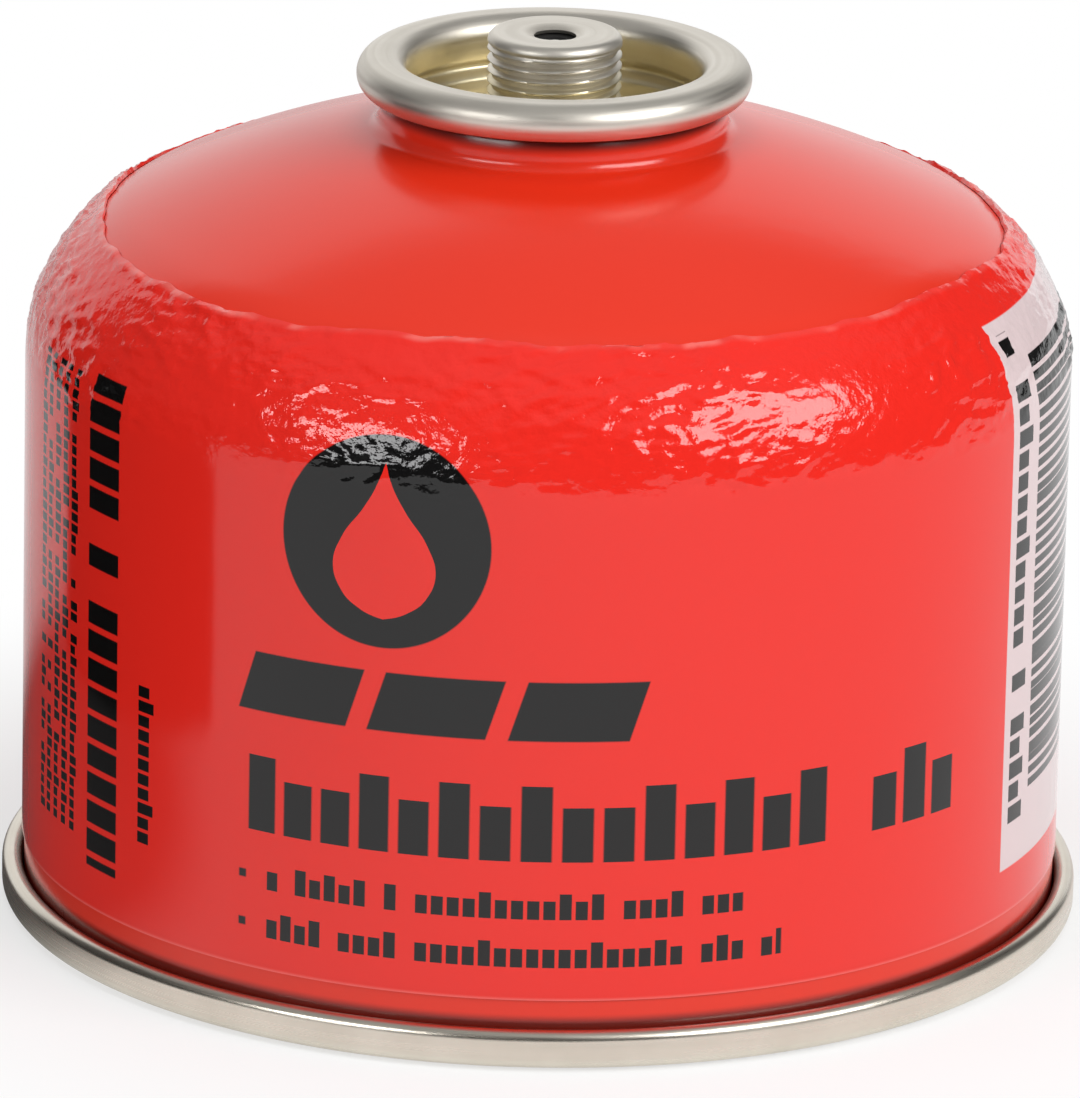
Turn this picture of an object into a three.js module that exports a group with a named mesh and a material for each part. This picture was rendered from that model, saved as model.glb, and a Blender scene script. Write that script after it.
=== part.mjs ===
// Small screw-valve gas canister. A drawn and lacquered steel can is closed below by a seamed base end
// and above by a stamped valve cup with a threaded turret. A printed shrink film covers its side.
// Millimetres, +Z up. The origin lies on the axis, in the plane that the base seam stands on.
// The filled can is one solid with its contents, hollow only where the valve reaches down into it.

import * as THREE from 'three';
import { mergeVertices } from 'three/addons/utils/BufferGeometryUtils.js';

// Facets
const roundSegments = 40;        // round the can, the base end, the valve cup and the film
const valveSegments = 20;        // round the small pieces inside the valve
const springSides = 6;           // round the spring wire
const springStepsPerTurn = 9;    // along one turn of the spring

// Can body, outside of the lacquered steel
const bodyRadius = 43.17;
const bodyGauge = 0.42;
const wallTop = 46.15;           // height at which the straight wall ends
const shoulderRadius = 14.8;
const shoulderDegrees = 64.8;    // turn of the shoulder from wall to dome
const domeRadius = 95;
const neckSetOut = 2.2;          // outside of the neck beyond the wall of the valve cup's well
const neckFillet = 1.3;
const neckRise = 3.3;            // from the top of the neck fillet to the middle of the neck bead
const neckTaperStart = 0.9;      // from the top of the neck fillet to where the neck draws in

// Double seam round the base
const endGauge = 0.48;
const seamGap = 0.15;            // sealing compound between the layers
const seamHeight = 3.2;
const seamCorner = 0.9;          // radius of the seam's lower edges
const basePanelRadius = 150;     // base panel, domed into the can
const basePanelCorner = 1.2;
const basePanelDepth = 3.6;      // height of the panel corner's centre

// Valve cup, stamped from tinplate
const cupGauge = 0.4;
const rollWidth = 4.1;           // of the rolled rim, outwards from the wall of the well
const rollHeight = 3.3;
const rollLipDegrees = 60;       // how far the rim turns in below its widest line
const wellRadius = 12.2;
const wellDepth = 7.4;
const wellCorner = 1.2;
const crimpDepth = 4.2;          // from the top of the rim to the crimp under the neck bead
const crimpClearance = 0.43;     // between the crimp and the neck round it
const crimpHalfHeight = 1.1;
const crimpFlat = 0.3;           // half of the straight part of the crimp

// Turret, the threaded boss that a burner screws on to: 7/16 inch, 28 threads to the inch
const turretRadius = 5.556;
const turretProud = 2.0;         // above the rim
const turretFoot = 0.8;
const turretChamfer = 0.36;
const turretHoleRadius = 1.75;
const turretDimpleRadius = 2.6;
const turretDimpleDepth = 0.3;
const turretRingHeight = 1.9;    // ring crimp that holds the valve housing, above the cup floor
const turretRingDepth = 0.45;
const turretRingHalf = 0.45;

// Seals
const cupGasketThickness = 0.3;
const cupGasketClearance = 0.05;
const turretGasketThickness = 1.5;
const turretGasketHoleRadius = 1.2;

// Valve, inside the turret
const valveClearance = 0.1;      // between pieces that press on each other
const housingClearance = 0.15;   // between the housing or its gasket and the turret wall
const housingChamberRadius = 3.3;
const housingChamberDepth = 7.2;
const housingFloor = 1.0;
const housingBodyRadius = 4.35;
const housingFlangeGap = 0.3;    // between the flange and the ring crimp below it
const housingTailRadius = 1.6;
const housingTailLength = 3.3;
const housingInletRadius = 0.6;
const stemPinRadius = 0.9;
const stemPinSunk = 0.9;         // top of the pin below the top of the turret
const stemHeadRadius = 2.7;
const stemHeadThickness = 0.9;
const stemGuideRadius = 1.1;
const stemGuideLength = 3.6;
const stemEdge = 0.2;            // chamfer on the stem's edges
const springWireRadius = 0.25;
const springMeanRadius = 1.9;
const springTurns = 5;

// Space inside the can body for the valve
const pocketClearance = 0.5;

// Printed shrink film
const filmGap = 0.05;
const filmThickness = 0.12;
const filmFoot = 5.4;            // height of the lower edge
const filmReach = 60.3;          // length from the base plane, along wall and shoulder, to the upper edge
const filmWaves = [              // height, waves round the can, and phase in degrees
  [0.35, 2, 40],
  [0.3, 5, 110],
  [0.16, 9, 20],
];
const filmShoulderRows = 7;

// A point in the section of a turned or drawn piece: radius, height
function at(radius, height) {
  return new THREE.Vector2(radius, height);
}

// An arc in that section, from one direction to another, in degrees anticlockwise from straight outwards
function arc(centre, radius, fromDegrees, toDegrees, steps) {
  const points = [];
  for (let step = 0; step <= steps; step += 1) {
    const degrees = THREE.MathUtils.lerp(fromDegrees, toDegrees, step / steps);
    const angle = THREE.MathUtils.degToRad(degrees);
    points.push(at(centre.x + radius * Math.cos(angle), centre.y + radius * Math.sin(angle)));
  }
  return points;
}

// The path moved to its left by a distance, with mitred corners. A point on the axis stays on it.
function offsetPath(path, distance) {
  const normals = [];
  for (let i = 0; i + 1 < path.length; i += 1) {
    const along = path[i + 1].clone().sub(path[i]).normalize();
    normals.push(at(-along.y, along.x));
  }
  return path.map((point, i) => {
    const before = normals[Math.max(i - 1, 0)];
    const after = normals[Math.min(i, normals.length - 1)];
    const mitre = before.clone().add(after);
    const moved = point.clone().addScaledVector(mitre, distance * 2 / mitre.lengthSq());
    if (point.x === 0) {
      moved.x = 0;
    }
    return moved;
  });
}

// Drops points that repeat the one before them
function withoutRepeats(path) {
  return path.filter((point, i) => i === 0 || point.distanceTo(path[i - 1]) > 1e-6);
}

// Section of sheet metal: one face, and the other face a gauge to its left
function sheetSection(face, gauge) {
  const clean = withoutRepeats(face);
  return [...clean, ...offsetPath(clean, gauge).reverse()];
}

function signedArea(section) {
  return THREE.ShapeUtils.area(section);
}

// Turns a section about the Z axis into a closed solid. A section that doesn't end on the axis is a ring.
function turned(section, segments) {
  const points = withoutRepeats(section);
  if (signedArea(points) < 0) {
    points.reverse();
  }
  const onAxis = points.findIndex((point) => point.x === 0);
  if (onAxis < 0) {
    points.push(points[0].clone());
  } else {
    while (!(points[0].x === 0 && points[points.length - 1].x === 0)) {
      points.push(points.shift());
    }
  }
  const lathe = new THREE.LatheGeometry(points, segments);
  lathe.rotateX(Math.PI / 2);
  return closed(lathe);
}

// Joins the doubled vertices along seams, so that the surface closes
function closed(geometry) {
  geometry.deleteAttribute('normal');
  geometry.deleteAttribute('uv');
  const merged = mergeVertices(geometry, 1e-5);
  merged.computeVertexNormals();
  return merged;
}

// What the sizes give

// Can body: shoulder and dome meet without a corner, and so do dome and neck
const shoulderCentre = at(bodyRadius - shoulderRadius, wallTop);
const shoulderAngle = THREE.MathUtils.degToRad(shoulderDegrees);
const domeCentre = at(
  shoulderCentre.x + (shoulderRadius - domeRadius) * Math.cos(shoulderAngle),
  shoulderCentre.y + (shoulderRadius - domeRadius) * Math.sin(shoulderAngle),
);
const neckRadius = wellRadius + neckSetOut;
const neckFilletR = neckRadius + neckFillet;
const neckFootZ = domeCentre.y + Math.sqrt(
  (domeRadius + neckFillet) ** 2 - (neckFilletR - domeCentre.x) ** 2,
);
const neckFilletCentre = at(neckFilletR, neckFootZ);
const domeEndDegrees = THREE.MathUtils.radToDeg(
  Math.atan2(neckFootZ - domeCentre.y, neckFilletR - domeCentre.x),
);

// Neck bead, gasket and rolled rim share the centres of their two corners
const rollRadius = wellRadius + rollWidth;
const rollCorner = rollHeight / 2;
const beadZ = neckFootZ + neckRise;
const rollOuterCentre = at(rollRadius - rollCorner, beadZ);
const rollInnerCentre = at(wellRadius + rollCorner, beadZ);
const gasketOuterCorner = rollCorner - cupGauge - cupGasketClearance;
const gasketInnerCorner = gasketOuterCorner - cupGasketThickness;
const beadCorner = gasketInnerCorner - cupGasketClearance;
const rimTop = beadZ + rollCorner;
const wellFloorZ = rimTop - wellDepth;
const crimpZ = rimTop - crimpDepth;
const crimpRadius = neckRadius - bodyGauge - crimpClearance - cupGauge;
const turretTop = rimTop + turretProud;
const turretRingZ = wellFloorZ + turretRingHeight;

// Double seam: from the can wall outwards lie end hook, body hook and seaming wall
const endHookFace = bodyRadius + seamGap;
const bodyTurnInner = (endGauge + 2 * seamGap) / 2;
const bodyTurnOuter = bodyTurnInner + bodyGauge;
const bodyTurnCentre = at(bodyRadius + bodyTurnInner, endGauge + seamGap + bodyTurnOuter);
const endTurnInner = (bodyGauge + 2 * seamGap) / 2;
const endTurnOuter = endTurnInner + endGauge;
const endTurnCentre = at(endHookFace + endTurnOuter, seamHeight - endTurnOuter);
const seamRadius = endTurnCentre.x + endTurnOuter;
const chuckFace = bodyRadius - bodyGauge - seamGap - endGauge;

// Valve stack, from the turret's top down
const turretGasketTop = turretTop - cupGauge - turretDimpleDepth - valveClearance;
const turretGasketFoot = turretGasketTop - turretGasketThickness;
const housingTop = turretGasketFoot - valveClearance;
const housingRadius = turretRadius - cupGauge - housingClearance;
const housingChamberFloor = housingTop - housingChamberDepth;
const housingFoot = housingChamberFloor - housingFloor;
const housingTailFoot = housingFoot - housingTailLength;
const housingFlangeFoot = turretRingZ + turretRingHalf + housingFlangeGap;
const stemHeadFoot = housingTop - stemHeadThickness;
const springTop = stemHeadFoot - valveClearance;
const springFoot = housingChamberFloor + valveClearance;

// A point on the can's side, at a length measured up along wall, shoulder and dome, and proud of it
function onCan(length, proud) {
  if (length <= wallTop) {
    return at(bodyRadius + proud, length);
  }
  const shoulderTurn = (length - wallTop) / shoulderRadius;
  if (shoulderTurn <= shoulderAngle) {
    const reach = shoulderRadius + proud;
    return at(
      shoulderCentre.x + reach * Math.cos(shoulderTurn),
      shoulderCentre.y + reach * Math.sin(shoulderTurn),
    );
  }
  const domeTurn = shoulderAngle + (shoulderTurn - shoulderAngle) * shoulderRadius / domeRadius;
  const reach = domeRadius + proud;
  return at(domeCentre.x + reach * Math.cos(domeTurn), domeCentre.y + reach * Math.sin(domeTurn));
}

// Can body

// Lower face of the base panel and inner face of the chuck wall, from the axis outwards
function basePanelFace() {
  const chuckCornerR = chuckFace - basePanelCorner;
  const edgeAngle = Math.acos(chuckCornerR / (basePanelRadius - basePanelCorner));
  const edgeDegrees = THREE.MathUtils.radToDeg(edgeAngle);
  const panelCentreZ = basePanelDepth - (basePanelRadius - basePanelCorner) * Math.sin(edgeAngle);
  const dome = arc(at(0, panelCentreZ), basePanelRadius, 90, edgeDegrees, 3);
  dome[0].x = 0;
  return [
    ...dome,
    ...arc(at(chuckCornerR, basePanelDepth), basePanelCorner, edgeDegrees, 0, 2),
  ];
}

function canBodySection() {
  const undersideFace = withoutRepeats([...basePanelFace(), at(chuckFace, bodyTurnCentre.y)]);
  const underside = offsetPath(undersideFace, endGauge + seamGap);
  const hook = [
    ...arc(bodyTurnCentre, bodyTurnOuter, 180, 360, 4),
    at(bodyTurnCentre.x + bodyTurnOuter, endTurnCentre.y),
    at(bodyTurnCentre.x + bodyTurnInner, endTurnCentre.y),
    ...arc(bodyTurnCentre, bodyTurnInner, 0, -180, 4),
  ];
  const shoulder = arc(shoulderCentre, shoulderRadius, 0, shoulderDegrees, 7);
  const dome = arc(domeCentre, domeRadius, shoulderDegrees, domeEndDegrees, 2);
  const neck = [
    ...arc(neckFilletCentre, neckFillet, domeEndDegrees + 180, 180, 2),
    at(neckRadius, neckFootZ + neckTaperStart),
    at(rollInnerCentre.x - beadCorner + bodyGauge, beadZ - beadCorner),
  ];
  const bead = [
    ...arc(rollOuterCentre, beadCorner, -90, 90, 6),
    ...arc(rollInnerCentre, beadCorner, 90, 180, 3),
  ];
  const boreRadius = neckRadius - bodyGauge;
  const pocketFloorZ = wellFloorZ - cupGauge - pocketClearance;
  const tailBore = housingBodyRadius + pocketClearance;
  const tailFloorZ = housingTailFoot - pocketClearance;
  const pocket = [
    at(rollInnerCentre.x - beadCorner, beadZ - beadCorner),
    at(boreRadius, neckFootZ + neckTaperStart),
    at(boreRadius, pocketFloorZ),
    at(tailBore, pocketFloorZ),
    at(tailBore, tailFloorZ),
    at(0, tailFloorZ),
  ];
  return [...underside, ...hook, ...shoulder, ...dome, ...neck, ...bead, ...pocket];
}

// Base end

function baseEndSection() {
  const face = [
    ...basePanelFace(),
    ...arc(at(chuckFace + seamCorner, seamCorner), seamCorner, 180, 270, 2),
    ...arc(at(seamRadius - seamCorner, seamCorner), seamCorner, -90, 0, 2),
    ...arc(endTurnCentre, endTurnOuter, 0, 180, 4),
    at(endHookFace, bodyTurnCentre.y),
  ];
  return sheetSection(face, endGauge);
}

// Valve cup with its turret

function valveCupSection() {
  const rim = [
    ...arc(rollOuterCentre, rollCorner, -rollLipDegrees, 90, 5),
    ...arc(rollInnerCentre, rollCorner, 90, 180, 3),
  ];
  const well = [
    at(wellRadius, crimpZ + crimpHalfHeight),
    at(crimpRadius, crimpZ + crimpFlat),
    at(crimpRadius, crimpZ - crimpFlat),
    at(wellRadius, crimpZ - crimpHalfHeight),
    ...arc(at(wellRadius - wellCorner, wellFloorZ + wellCorner), wellCorner, 0, -90, 2),
  ];
  const footCentre = at(turretRadius + turretFoot, wellFloorZ + turretFoot);
  const turret = [
    ...arc(footCentre, turretFoot, 270, 180, 2),
    at(turretRadius, turretRingZ - turretRingHalf),
    at(turretRadius - turretRingDepth, turretRingZ),
    at(turretRadius, turretRingZ + turretRingHalf),
    at(turretRadius, turretTop - turretChamfer),
    at(turretRadius - turretChamfer, turretTop),
    at(turretDimpleRadius, turretTop),
    at(turretHoleRadius, turretTop - turretDimpleDepth),
  ];
  return sheetSection([...rim, ...well, ...turret], cupGauge);
}

// Seals

function cupGasketSection() {
  const face = [
    ...arc(rollOuterCentre, gasketOuterCorner, -rollLipDegrees / 2, 90, 4),
    ...arc(rollInnerCentre, gasketOuterCorner, 90, 180, 3),
  ];
  return sheetSection(face, cupGasketThickness);
}

function turretGasketSection() {
  return [
    at(turretGasketHoleRadius, turretGasketFoot),
    at(housingRadius, turretGasketFoot),
    at(housingRadius, turretGasketTop),
    at(turretGasketHoleRadius, turretGasketTop),
  ];
}

// Valve

function valveHousingSection() {
  return [
    at(housingInletRadius, housingTailFoot),
    at(housingTailRadius, housingTailFoot),
    at(housingTailRadius, housingFoot),
    at(housingBodyRadius, housingFoot),
    at(housingBodyRadius, housingFlangeFoot),
    at(housingRadius, housingFlangeFoot),
    at(housingRadius, housingTop),
    at(housingChamberRadius, housingTop),
    at(housingChamberRadius, housingChamberFloor),
    at(housingInletRadius, housingChamberFloor),
  ];
}

function valveStemSection() {
  const pinTop = turretTop - stemPinSunk;
  const guideFoot = stemHeadFoot - stemGuideLength;
  return [
    at(0, guideFoot),
    at(stemGuideRadius - stemEdge, guideFoot),
    at(stemGuideRadius, guideFoot + stemEdge),
    at(stemGuideRadius, stemHeadFoot),
    at(stemHeadRadius, stemHeadFoot),
    at(stemHeadRadius, housingTop - stemEdge),
    at(stemHeadRadius - stemEdge, housingTop),
    at(stemPinRadius, housingTop),
    at(stemPinRadius, pinTop - stemEdge),
    at(stemPinRadius - stemEdge, pinTop),
    at(0, pinTop),
  ];
}

// Centre line of the spring wire, with its end turns lying nearly flat
class SpringLine extends THREE.Curve {
  getPoint(t, target = new THREE.Vector3()) {
    const low = springFoot + springWireRadius;
    const high = springTop - springWireRadius;
    const rise = THREE.MathUtils.smoothstep(t, 0, 1) * 0.6 + t * 0.4;
    const angle = 2 * Math.PI * springTurns * t;
    return target.set(
      springMeanRadius * Math.cos(angle),
      springMeanRadius * Math.sin(angle),
      low + (high - low) * rise,
    );
  }
}

function valveSpringGeometry() {
  const wire = new THREE.Shape();
  for (let side = 0; side < springSides; side += 1) {
    const angle = 2 * Math.PI * side / springSides;
    const x = springWireRadius * Math.cos(angle);
    const y = springWireRadius * Math.sin(angle);
    if (side === 0) {
      wire.moveTo(x, y);
    } else {
      wire.lineTo(x, y);
    }
  }
  wire.closePath();
  return closed(new THREE.ExtrudeGeometry(wire, {
    steps: springTurns * springStepsPerTurn,
    extrudePath: new SpringLine(),
  }));
}

// Printed shrink film

// Length from the base plane to the film's upper edge, at an angle round the can
function filmEdge(angle) {
  return filmWaves.reduce((length, [height, count, phase]) => {
    return length + height * Math.cos(count * angle + THREE.MathUtils.degToRad(phase));
  }, filmReach);
}

// A ring with one row of points up each face, whose rows above the wall stretch to the wavy edge
function filmGeometry() {
  const rows = filmShoulderRows + 2;
  const faces = [];
  for (let row = 0; row < rows; row += 1) {
    faces.push({ row, proud: filmGap + filmThickness });
  }
  for (let row = rows - 1; row >= 0; row -= 1) {
    faces.push({ row, proud: filmGap });
  }
  faces.push(faces[0]);
  const place = (row, proud, angle) => {
    if (row === 0) {
      return onCan(filmFoot, proud);
    }
    const share = (row - 1) / filmShoulderRows;
    return onCan(THREE.MathUtils.lerp(wallTop, filmEdge(angle), share), proud);
  };
  const ring = new THREE.LatheGeometry(
    faces.map(({ row, proud }) => place(row, proud, 0)),
    roundSegments,
  );
  const position = ring.getAttribute('position');
  for (let i = 0; i < position.count; i += 1) {
    const { row, proud } = faces[i % faces.length];
    const angle = 2 * Math.PI * (Math.floor(i / faces.length) % roundSegments) / roundSegments;
    const point = place(row, proud, angle);
    position.setXYZ(i, point.x * Math.sin(angle), point.y, point.x * Math.cos(angle));
  }
  ring.rotateX(Math.PI / 2);
  return closed(ring);
}

// Materials

const redLacquer = new THREE.MeshStandardMaterial({ color: 0xd8301f, roughness: 0.3, metalness: 0 });
const printedFilm = new THREE.MeshStandardMaterial({ color: 0xe8383a, roughness: 0.22, metalness: 0 });
const tinplate = new THREE.MeshStandardMaterial({ color: 0xc6c0b4, roughness: 0.3, metalness: 1 });
const blackRubber = new THREE.MeshStandardMaterial({ color: 0x161616, roughness: 0.8, metalness: 0 });
const acetal = new THREE.MeshStandardMaterial({ color: 0xe9e7e0, roughness: 0.45, metalness: 0 });
const springSteel = new THREE.MeshStandardMaterial({ color: 0xb9bcc0, roughness: 0.3, metalness: 1 });

// Assembly

const canister = new THREE.Group();
canister.name = 'fuel_canister';

function add(group, name, geometry, material) {
  const mesh = new THREE.Mesh(geometry, material);
  mesh.name = name;
  group.add(mesh);
}

const vessel = new THREE.Group();
vessel.name = 'vessel';
add(vessel, 'can_body', turned(canBodySection(), roundSegments), redLacquer);
add(vessel, 'base_end', turned(baseEndSection(), roundSegments), tinplate);
add(vessel, 'label_sleeve', filmGeometry(), printedFilm);
canister.add(vessel);

const valve = new THREE.Group();
valve.name = 'valve';
add(valve, 'valve_cup', turned(valveCupSection(), roundSegments), tinplate);
add(valve, 'cup_gasket', turned(cupGasketSection(), roundSegments), blackRubber);
add(valve, 'turret_gasket', turned(turretGasketSection(), valveSegments), blackRubber);
add(valve, 'valve_housing', turned(valveHousingSection(), valveSegments), acetal);
add(valve, 'valve_stem', turned(valveStemSection(), valveSegments), acetal);
add(valve, 'valve_spring', valveSpringGeometry(), springSteel);
canister.add(valve);

export default canister;
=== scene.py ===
"""A small screw-valve gas canister: lacquered can, tinplate base and valve cup, printed shrink film.

Sizes are millimetres, as the part has them. Meshes are made in metres, in the part's frame.
"""
import math

import bpy
import numpy as np
from mathutils import Matrix, Vector, noise


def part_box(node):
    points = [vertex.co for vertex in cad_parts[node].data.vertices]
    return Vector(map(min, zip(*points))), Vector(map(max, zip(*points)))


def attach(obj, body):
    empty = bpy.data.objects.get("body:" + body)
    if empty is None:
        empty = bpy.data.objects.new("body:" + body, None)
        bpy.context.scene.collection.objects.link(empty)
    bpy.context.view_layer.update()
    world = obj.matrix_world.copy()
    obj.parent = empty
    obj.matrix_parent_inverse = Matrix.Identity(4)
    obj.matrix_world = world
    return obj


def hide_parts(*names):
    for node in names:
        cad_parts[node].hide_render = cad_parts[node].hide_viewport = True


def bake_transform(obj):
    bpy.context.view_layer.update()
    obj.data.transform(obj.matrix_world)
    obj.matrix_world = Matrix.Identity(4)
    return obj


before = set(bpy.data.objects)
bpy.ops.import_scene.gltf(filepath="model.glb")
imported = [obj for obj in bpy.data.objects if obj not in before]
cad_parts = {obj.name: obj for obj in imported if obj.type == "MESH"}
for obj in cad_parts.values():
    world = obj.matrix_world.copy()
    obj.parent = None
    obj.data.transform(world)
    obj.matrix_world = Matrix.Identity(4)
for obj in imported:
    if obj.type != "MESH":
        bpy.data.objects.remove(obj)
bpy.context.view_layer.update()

MM = 0.001
BODY = "canister"

# Can, outside of the steel
BODY_RADIUS = 43.17
BODY_GAUGE = 0.42
WALL_TOP = 46.15
SHOULDER_RADIUS = 14.8
SHOULDER_ANGLE = math.radians(64.8)
DOME_RADIUS = 95.0
NECK_RADIUS = 14.4
NECK_FILLET = 1.3
NECK_RISE = 3.3
NECK_TAPER_START = 0.9
NECK_BEAD_CORNER = 0.79

# Double seam and base end
END_GAUGE = 0.48
SEAM_GAP = 0.15
SEAM_HEIGHT = 3.2
SEAM_CORNER = 0.9
PANEL_RADIUS = 150.0
PANEL_CORNER = 1.2
PANEL_DEPTH = 3.6

# Room in the can's top for the valve
VALVE_POCKET_ROOM = 0.5
VALVE_BORE = 4.85
VALVE_BORE_FLOOR = 60.0

# Valve cup
CUP_GAUGE = 0.4
ROLL_RADIUS = 16.3
ROLL_HEIGHT = 3.3
WELL_RADIUS = 12.2
WELL_DEPTH = 7.4
WELL_CORNER = 1.2
CRIMP_DEPTH = 4.2
CRIMP_RADIUS = 13.15
CRIMP_HALF = 1.1
TURRET_RADIUS = 5.556
TURRET_PROUD = 2.0
TURRET_FOOT = 0.8
TURRET_LEAD = 0.75  # rounded lead-in at the top of the thread
TURRET_HOLE = 1.75
TURRET_DIMPLE = 2.6
TURRET_DIMPLE_DEPTH = 0.3
DIMPLE_EDGE = 0.25  # breadth of the rounding at the dimple
DIMPLE_EDGE_DROP = 0.03
HOLE_EDGE = 0.1  # breadth of the rounding at the hole
HOLE_EDGE_RISE = 0.02
HOLE_EDGE_DROP = 0.05
RING_HEIGHT = 1.9
RING_DEPTH = 0.45
RING_HALF = 0.45
THREAD_PITCH = 25.4 / 28
THREAD_DEPTH = 0.5
THREAD_STEP = 0.07  # height between the thread's rows of points
THREAD_CLEAR = 0.25  # plain wall between the ring crimp and the thread
THREAD_FOOT_FADE = 0.6
THREAD_TOP_FADE = 0.5
THREAD_FULLNESS = 0.8  # below 1 the groove is broad and the crest narrow

# Shrink film
FILM_GAP = 0.05
FILM_THICKNESS = 0.12
FILM_FOOT = 5.4
FILM_REACH = 60.3
FILM_COLUMNS = 620
FILM_WALL_ROWS = 6
FILM_SHOULDER_ROWS = 56
FILM_ROWS_STOP = 0.6  # below the wall's top, where the close rows over the shoulder start
FILM_LOOSE = 0.02  # least lift of the film over its own thickness

# Waves of the film's upper edge: height, count round the can, and phase in degrees
FILM_WAVES = (
    (0.35, 2, 40), (0.3, 5, 110), (0.16, 9, 20),
    (0.10, 23, 0), (0.07, 41, 60), (0.05, 67, 10),
)

# Creases over the shoulder, broad to fine: share, count to the millimetre, shift of the pattern
CREASES = ((0.45, 0.45, (0, 0, 0)), (0.35, 0.95, (11, 5, 2)), (0.20, 1.9, (4, 8, 1)))
CREASE_HEIGHT = 0.36
CREASE_START = (0.2, 3.0)  # above the wall's top, from none to full
CREASE_STRETCH = 0.55  # below 1 the creases run longer round the can than up it
CREASE_SHARPNESS = 3.0
BEND = (0.8, 0.28)  # how far slow waves bend the creases, and their count to the millimetre
BEND_SHIFTS = ((0.2, 5.1, 9.7), (7.3, 2.6, 4.4), (3.9, 8.8, 1.5))
PATCHES = 0.16  # patches of strong creases to the millimetre
PATCH_SHIFT = (3.1, 0.7, 9.2)
PATCH_LEAST = 0.2  # share of the creases' height between the patches
BEAD_HEIGHT = 0.14  # of the curled upper edge
BEAD_INSET = 0.55
BEAD_BREADTH = 0.45
BEAD_BREAKS = 0.5  # breaks in the curl to the millimetre
BEAD_LEAST = 0.3  # share of the curl's height that is left in a break

# Spring under the valve stem
SPRING_WIRE = 0.25  # radius of the wire
SPRING_COIL = 1.9  # radius of the coil, to the middle of the wire
SPRING_TURNS = 5.0
SPRING_FLATNESS = 0.6  # share of the rise that the middle turns take from the end turns

# Finishes: features of each pattern to the millimetre, and depths of its relief
PEEL = 0.7  # orange peel in the lacquer
PEEL_RELIEF = 0.2
DRAW_RINGS = 1.92  # tool rings in the tinplate
DRAW_STRETCH = 12.0  # how much longer the rings' pattern runs round than across
DRAW_RELIEF = 0.2
CLOUDS = 0.18  # drift of the tinplate's tone
PUCKERS = 0.9  # finest folds of the film
PUCKER_START = 4.0  # height over the wall's top where they are full
RIPPLES = 0.12  # slow waves of the film
FILM_RELIEF = 0.5
GLINTS = 0.21  # breaks in the light along the film's upper edge
UPPER_CUT = (0.2, 0.8)  # below that edge, from lit to plain
LOWER_CUT = 0.3  # above the film's foot, where its light ends
BLOOM = 0.9  # bloom on the rubber
FLOW = 0.5  # flow marks in the acetal
DRAW_MARKS = 1.5  # draw marks on the spring's wire
RIM_SHADE = (3.0, 1.9)  # painted shade below the middle of the neck bead, from none to dark
SEAM_SHADE = (0.1, 1.0)  # painted shade above the seam, from dark to none
VARNISH_FADE = (2.4, 0.4)  # below the rim's top, from full to none
VARNISH_MARGIN = 0.2  # past the crimp's radius
VARNISH_STOP = 1.0  # below the turret's top

# Fineness of the meshes
ROUND = 288  # facets round the large pieces
CUP_ROUND = 240  # facets round the valve cup
SPRING_STEPS = 36  # facets round one turn of the spring
SPRING_SIDES = 12  # facets round its wire
JOINED = 1e-6  # metres between points that are one


# Sections, in the plane of radius and height

def arc(centre, radius, start, end, steps):
    """Points of an arc, in degrees anticlockwise from outwards."""
    turn = np.radians(np.linspace(start, end, steps + 1))
    return [(centre[0] + radius * math.cos(a), centre[1] + radius * math.sin(a)) for a in turn]


def without_repeats(path):
    """The path with points that lie on the one before left out."""
    kept = [path[0]]
    for point in path[1:]:
        if math.dist(point, kept[-1]) > 1e-5:
            kept.append(point)
    return kept


def offset_path(path, distance):
    """The path moved to its left, with mitred corners. A point on the axis stays on it."""
    points = np.array(path)
    along = np.diff(points, axis=0)
    along /= np.linalg.norm(along, axis=1)[:, None]
    normals = np.stack([-along[:, 1], along[:, 0]], axis=1)
    before = np.vstack([normals[:1], normals])
    after = np.vstack([normals, normals[-1:]])
    mitre = before + after
    moved = points + mitre * (2 * distance / (mitre ** 2).sum(1))[:, None]
    moved[points[:, 0] == 0, 0] = 0
    return [tuple(p) for p in moved]


def sheet_section(face, gauge):
    """A pressed sheet's section: its outer face, and back along the inner one."""
    clean = without_repeats(face)
    return clean + offset_path(clean, gauge)[::-1]


def bulge(t):
    """A rounded ridge: 1 in the middle, and 0 with a level foot at -1 and 1."""
    return 0.5 + 0.5 * math.cos(math.pi * t)


def smoothstep(low, high, x):
    """Rises from 0 at low to 1 at high, level at both."""
    t = min(max((x - low) / (high - low), 0), 1)
    return t * t * (3 - 2 * t)


# Places that the sizes give

shoulder_centre = (BODY_RADIUS - SHOULDER_RADIUS, WALL_TOP)
dome_centre = (
    shoulder_centre[0] + (SHOULDER_RADIUS - DOME_RADIUS) * math.cos(SHOULDER_ANGLE),
    shoulder_centre[1] + (SHOULDER_RADIUS - DOME_RADIUS) * math.sin(SHOULDER_ANGLE),
)
fillet_r = NECK_RADIUS + NECK_FILLET
neck_foot = dome_centre[1] + math.sqrt((DOME_RADIUS + NECK_FILLET) ** 2 - (fillet_r - dome_centre[0]) ** 2)
dome_end = math.degrees(math.atan2(neck_foot - dome_centre[1], fillet_r - dome_centre[0]))

roll_corner = ROLL_HEIGHT / 2
bead_z = neck_foot + NECK_RISE
roll_outer = (ROLL_RADIUS - roll_corner, bead_z)
roll_inner = (WELL_RADIUS + roll_corner, bead_z)
rim_top = bead_z + roll_corner
well_floor = rim_top - WELL_DEPTH
crimp_z = rim_top - CRIMP_DEPTH
turret_top = rim_top + TURRET_PROUD
ring_z = well_floor + RING_HEIGHT
thread_foot = ring_z + RING_HALF + THREAD_CLEAR
thread_top = turret_top - TURRET_LEAD

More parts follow.
